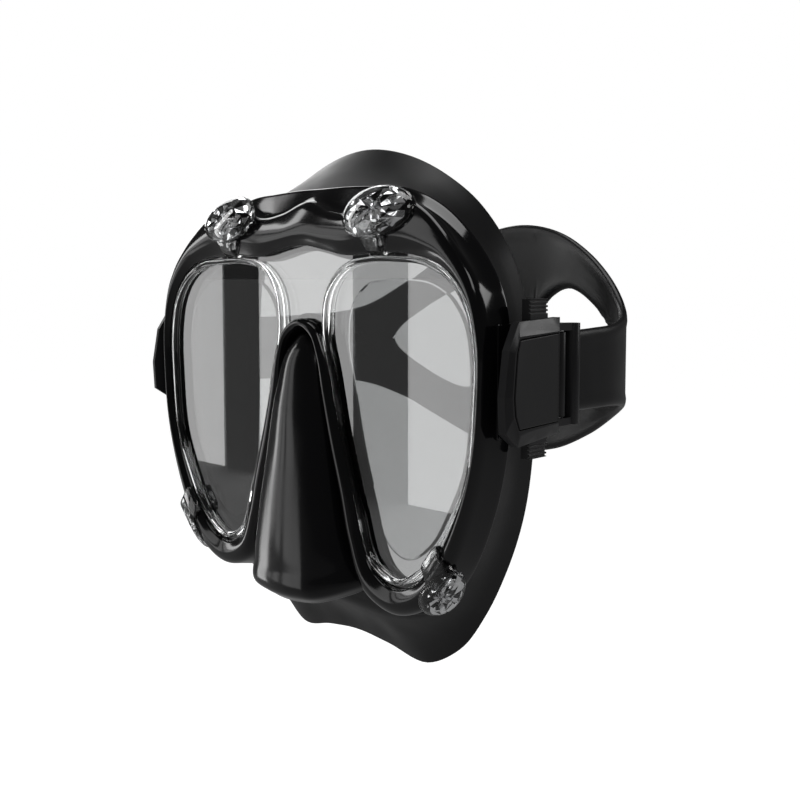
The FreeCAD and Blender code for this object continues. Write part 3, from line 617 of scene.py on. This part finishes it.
def build_clip(place, side, sign):
    """Clear drop over a reflector, with a neck down to its ring (top) or a flat tab (bottom)."""
    along, across, normal, centre = clip_axes(CLIPS[place])
    a, b, c = CLIPS[place]["half"]
    bm = bmesh.new()

    def level(out, height):
        """Leaf-shaped contour: blunt at the outer end, drawn out towards the other one."""
        points = []
        for t in np.linspace(0, 2 * pi, 65)[:-1]:
            lean = 1 - 0.10 * cos(t) * abs(sin(t))
            points.append(centre + along * (a * out * cos(t)) + across * (b * out * sin(t) * lean)
                          + normal * height)
        return points

    rows = [level(sin(turn)**0.8, 0.82 * c * cos(turn)) for turn in np.linspace(0, 1.35, 12)]
    rows += [level(out, height) for out, height in CLIP_EDGE]
    add_grid(bm, rows, wrap_rows=False)
    bm.faces.new(bm.verts[-len(rows[0]):])
    if place == "top":
        path = smooth([(y, z, 0) for y, z in NECK_PATH], 6, False)[:, 0, :2]
        widths = smooth([(left, right, 0) for left, right in NECK_WIDTHS], 6, False)[:, 0, :2]
        grid = [neck_section(*point, *width) for point, width in zip(path, widths)]
        add_grid(bm, rounded(grid, NECK_RADII), wrap_rows=False, caps=True)
    else:
        add_plate(bm, CLIP_TAB, lambda u, v, h: (u, h, v), *CLIP_TAB_FACES, corner=1.4, edge=0.6)
    if sign < 0:
        mirror_bm(bm)
    made = piece(side + "_" + place + "_drop", bm, "clear_plastic", "mask")
    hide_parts(side + "_" + place + "_clip")


def bowl_point(data, level, facet, out, up):
    """Corner of a reflector's facet; fixed waves in the angle, reach and height make it uneven."""
    along, across, normal, centre = clip_axes(data)
    a, b, c = data["half"]
    turn = 2 * pi * (facet + 0.5 * (level % 2)) / FACETS + 0.12 * sin(7.1 * facet + 2.3 * level)
    reach = out * (1 + 0.07 * sin(5.3 * facet + 1.7 * level))
    height = up + 0.13 * c * sin(3.7 * facet + 4.1 * level)
    return centre + along * (a * reach * cos(turn)) + across * (b * reach * sin(turn)) + normal * height


def facet_tips(rows, i, j):
    """The two triangles between two levels; some are left out, more of them in the upper half."""
    p, q = rows[i][j], rows[i][(j + 1) % FACETS]
    r, s = rows[i + 1][j], rows[i + 1][(j + 1) % FACETS]
    tips = ((p, q, r), (q, s, r)) if i % 2 == 0 else ((p, s, r), (p, q, s))
    every = 2 if sin(2 * pi * (j + 0.5) / FACETS) > 0.25 else 7
    return [tip for n, tip in enumerate(tips) if (3 * j + 2 * i + n) % every]


def build_reflectors():
    """Faceted silver bowls under the clear drops."""
    for side, sign in SIDES.items():
        for place, data in CLIPS.items():
            depth = data["half"][2]
            levels = ((0.90, -0.7), (0.74, 0.04 * depth), (0.50, 0.26 * depth), (0.26, 0.20 * depth),
                      (0.06, 0.30 * depth))
            rows = [[bowl_point(data, k, j, out, up) for j in range(FACETS)]
                    for k, (out, up) in enumerate(levels)]
            bm = bmesh.new()
            for i in range(len(levels) - 1):
                for j in range(FACETS):
                    for tip in facet_tips(rows, i, j):
                        bm.faces.new([bm.verts.new(v) for v in tip])
            if sign < 0:
                mirror_bm(bm)
            made = piece(side + "_" + place + "_facets", bm, "reflector_mirror", "mask", flat=True)
            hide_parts("clip_reflectors")


# ---------------------------------------------------------------- springs and carried-over CAD nodes
def dress_node(name, slot, width=0.0):
    """The slot's material on a CAD node, and softened edges where a width is given."""
    node = nodes[name]
    node.data.materials.clear()
    node.data.materials.append(M[slot])
    if width:
        weld = node.modifiers.new("weld", "WELD")
        weld.merge_threshold = 0.005 * MM
        bevel = node.modifiers.new("edges", "BEVEL")
        bevel.width = width * MM
        bevel.segments = 2
        bevel.limit_method = "ANGLE"
        bevel.angle_limit = radians(35)
        bevel.harden_normals = True


def build_spring(side, place):
    """Copy of a button's coil spring, in steel, riding on the buckle."""
    name = side + "_" + place + "_button_spring"
    mesh = nodes[name].data.copy()
    mesh.transform(nodes[name].matrix_world)
    mesh.materials.clear()
    mesh.materials.append(M["spring_steel"])
    made = bpy.data.objects.new(side + "_" + place + "_button_coil", mesh)
    bpy.context.scene.collection.objects.link(made)
    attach(made, side + "_buckle")
    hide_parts(name)
    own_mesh(made)


build_frame()
build_skirt()
build_pocket()
build_strap()
build_strap_grips()
build_reflectors()
for side, sign in SIDES.items():
    build_ring(side, sign)
    build_insert(side, sign)
    for place in CLIPS:
        build_clip(place, side, sign)
    for place in ("top", "bottom"):
        build_spring(side, place)
for part in frame["record"]["subparts"]:
    edge_width = next((value for key, value in EDGE_WIDTHS.items() if part["node"].endswith(key)), 0.0)
    dress_node(part["node"], part["material_slot"], edge_width)

# ---------------------------------------------------------------- stage, light and camera
# Floor and world are bright where they are seen directly and dim in reflections, so that the black
# surfaces stay dark on a pale background.
FLOOR_SEEN, FLOOR_DIM = 0.98, 0.12
WORLD_SEEN, WORLD_DIM = 1.0, 0.06
FLOOR_REACH, FLOOR_DROP = 60, 0.2
PANELS = {"panel_left": (-1.75, -1.437), "panel_middle": (-1.337, -1.111),
          "panel_right": (-0.996, -0.62)}
PANEL_Y, PANEL_Z, PANEL_HEIGHT, PANEL_LEVEL = -0.9, 0.25, 1.3, 1.6
CAMERA_PLACE, CAMERA_AIM = (0.26601, -0.21226, 0.03449), (0.01617, -0.00272, 0.00266)
CAMERA_LENS, CAMERA_SENSOR = 58.1, 36


def first_sight(tree):
    """1 on rays that have not been reflected yet, straight or through the glass; else 0."""
    path = tree.nodes.new("ShaderNodeLightPath")
    bounces = tree.nodes.new("ShaderNodeMath")
    bounces.operation = "ADD"
    direct = tree.nodes.new("ShaderNodeMath")
    direct.operation = "LESS_THAN"
    direct.inputs[1].default_value = 0.5
    tree.links.new(path.outputs["Glossy Depth"], bounces.inputs[0])
    tree.links.new(path.outputs["Diffuse Depth"], bounces.inputs[1])
    tree.links.new(bounces.outputs[0], direct.inputs[0])
    return direct.outputs[0]


def build_floor():
    reach = FLOOR_REACH
    corners = [(-reach, -reach, 0), (reach, -reach, 0), (reach, reach, 0), (-reach, reach, 0)]
    mesh = bpy.data.meshes.new("floor")
    mesh.from_pydata(corners, [], [(0, 1, 2, 3)])
    floor = bpy.data.objects.new("floor", mesh)
    floor.location.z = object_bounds()[0].z - FLOOR_DROP
    bpy.context.scene.collection.objects.link(floor)
    finish = bpy.data.materials.new("floor")
    finish.use_nodes = True
    tree = finish.node_tree
    shader = tree.nodes["Principled BSDF"]
    shader.inputs["Base Color"].default_value = (0.25, 0.25, 0.25, 1)
    shader.inputs["Roughness"].default_value = 0.8
    shader.inputs["Emission Color"].default_value = (1, 1, 1, 1)
    level = tree.nodes.new("ShaderNodeMapRange")
    level.inputs["To Min"].default_value = FLOOR_DIM
    level.inputs["To Max"].default_value = FLOOR_SEEN
    tree.links.new(first_sight(tree), level.inputs["Value"])
    tree.links.new(level.outputs["Result"], shader.inputs["Emission Strength"])
    mesh.materials.append(finish)


def build_world():
    world = bpy.data.worlds.new("studio")
    world.use_nodes = True
    tree = world.node_tree
    tree.nodes.clear()
    seen = tree.nodes.new("ShaderNodeBackground")
    seen.inputs["Color"].default_value = (WORLD_SEEN, WORLD_SEEN, WORLD_SEEN, 1)
    dim = tree.nodes.new("ShaderNodeBackground")
    dim.inputs["Color"].default_value = (WORLD_DIM, WORLD_DIM, WORLD_DIM, 1)
    mixed = tree.nodes.new("ShaderNodeMixShader")
    sky = tree.nodes.new("ShaderNodeOutputWorld")
    tree.links.new(first_sight(tree), mixed.inputs[0])
    tree.links.new(dim.outputs[0], mixed.inputs[1])
    tree.links.new(seen.outputs[0], mixed.inputs[2])
    tree.links.new(mixed.outputs[0], sky.inputs["Surface"])
    bpy.context.scene.world = world


def area_light(name, place, aim, size, power, size_y=None, through_glass=True):
    """Soft rectangle of light, out of sight; it can also be kept from showing through the glass."""
    light = bpy.data.lights.new(name, "AREA")
    light.energy = power
    light.shape = "RECTANGLE"
    light.size = size
    light.size_y = size_y or size
    holder = bpy.data.objects.new(name, light)
    holder.location = place
    holder.rotation_euler = (Vector(aim) - Vector(place)).to_track_quat("-Z", "Y").to_euler()
    holder.visible_camera = False
    holder.visible_transmission = through_glass
    bpy.context.scene.collection.objects.link(holder)


def build_camera():
    data = bpy.data.cameras.new("camera")
    data.lens = CAMERA_LENS
    data.sensor_width = CAMERA_SENSOR
    data.clip_start = 0.01
    camera = bpy.data.objects.new("camera", data)
    camera.location = CAMERA_PLACE
    camera.rotation_euler = (Vector(CAMERA_AIM) - camera.location).to_track_quat("-Z", "Y").to_euler()
    bpy.context.scene.collection.objects.link(camera)
    bpy.context.scene.camera = camera


build_floor()
build_world()
for name, (start, end) in PANELS.items():
    middle, width = (start + end) / 2, end - start
    area_light(name, (middle, PANEL_Y, PANEL_Z), (middle, 0, PANEL_Z), width,
               PANEL_LEVEL * pi * width * PANEL_HEIGHT, PANEL_HEIGHT)
area_light("key", (0.55, -0.35, 0.70), (0.02, 0, 0), 0.35, 1.6)
area_light("top", (-0.15, 0.0, 0.9), (0, 0, 0), 0.5, 3)
area_light("back", (0.5, 0.8, 0.4), (0, 0, 0), 0.4, 2)
area_light("rim", (-1.0, 0.35, 0.40), (0, 0, 0.02), 0.6, 3.4, through_glass=False)
area_light("edge", (-0.8, -0.35, 0.1), (-0.05, 0, 0), 0.10, 1.4, 0.9)
bpy.context.scene.view_settings.view_transform = "Standard"
build_camera()
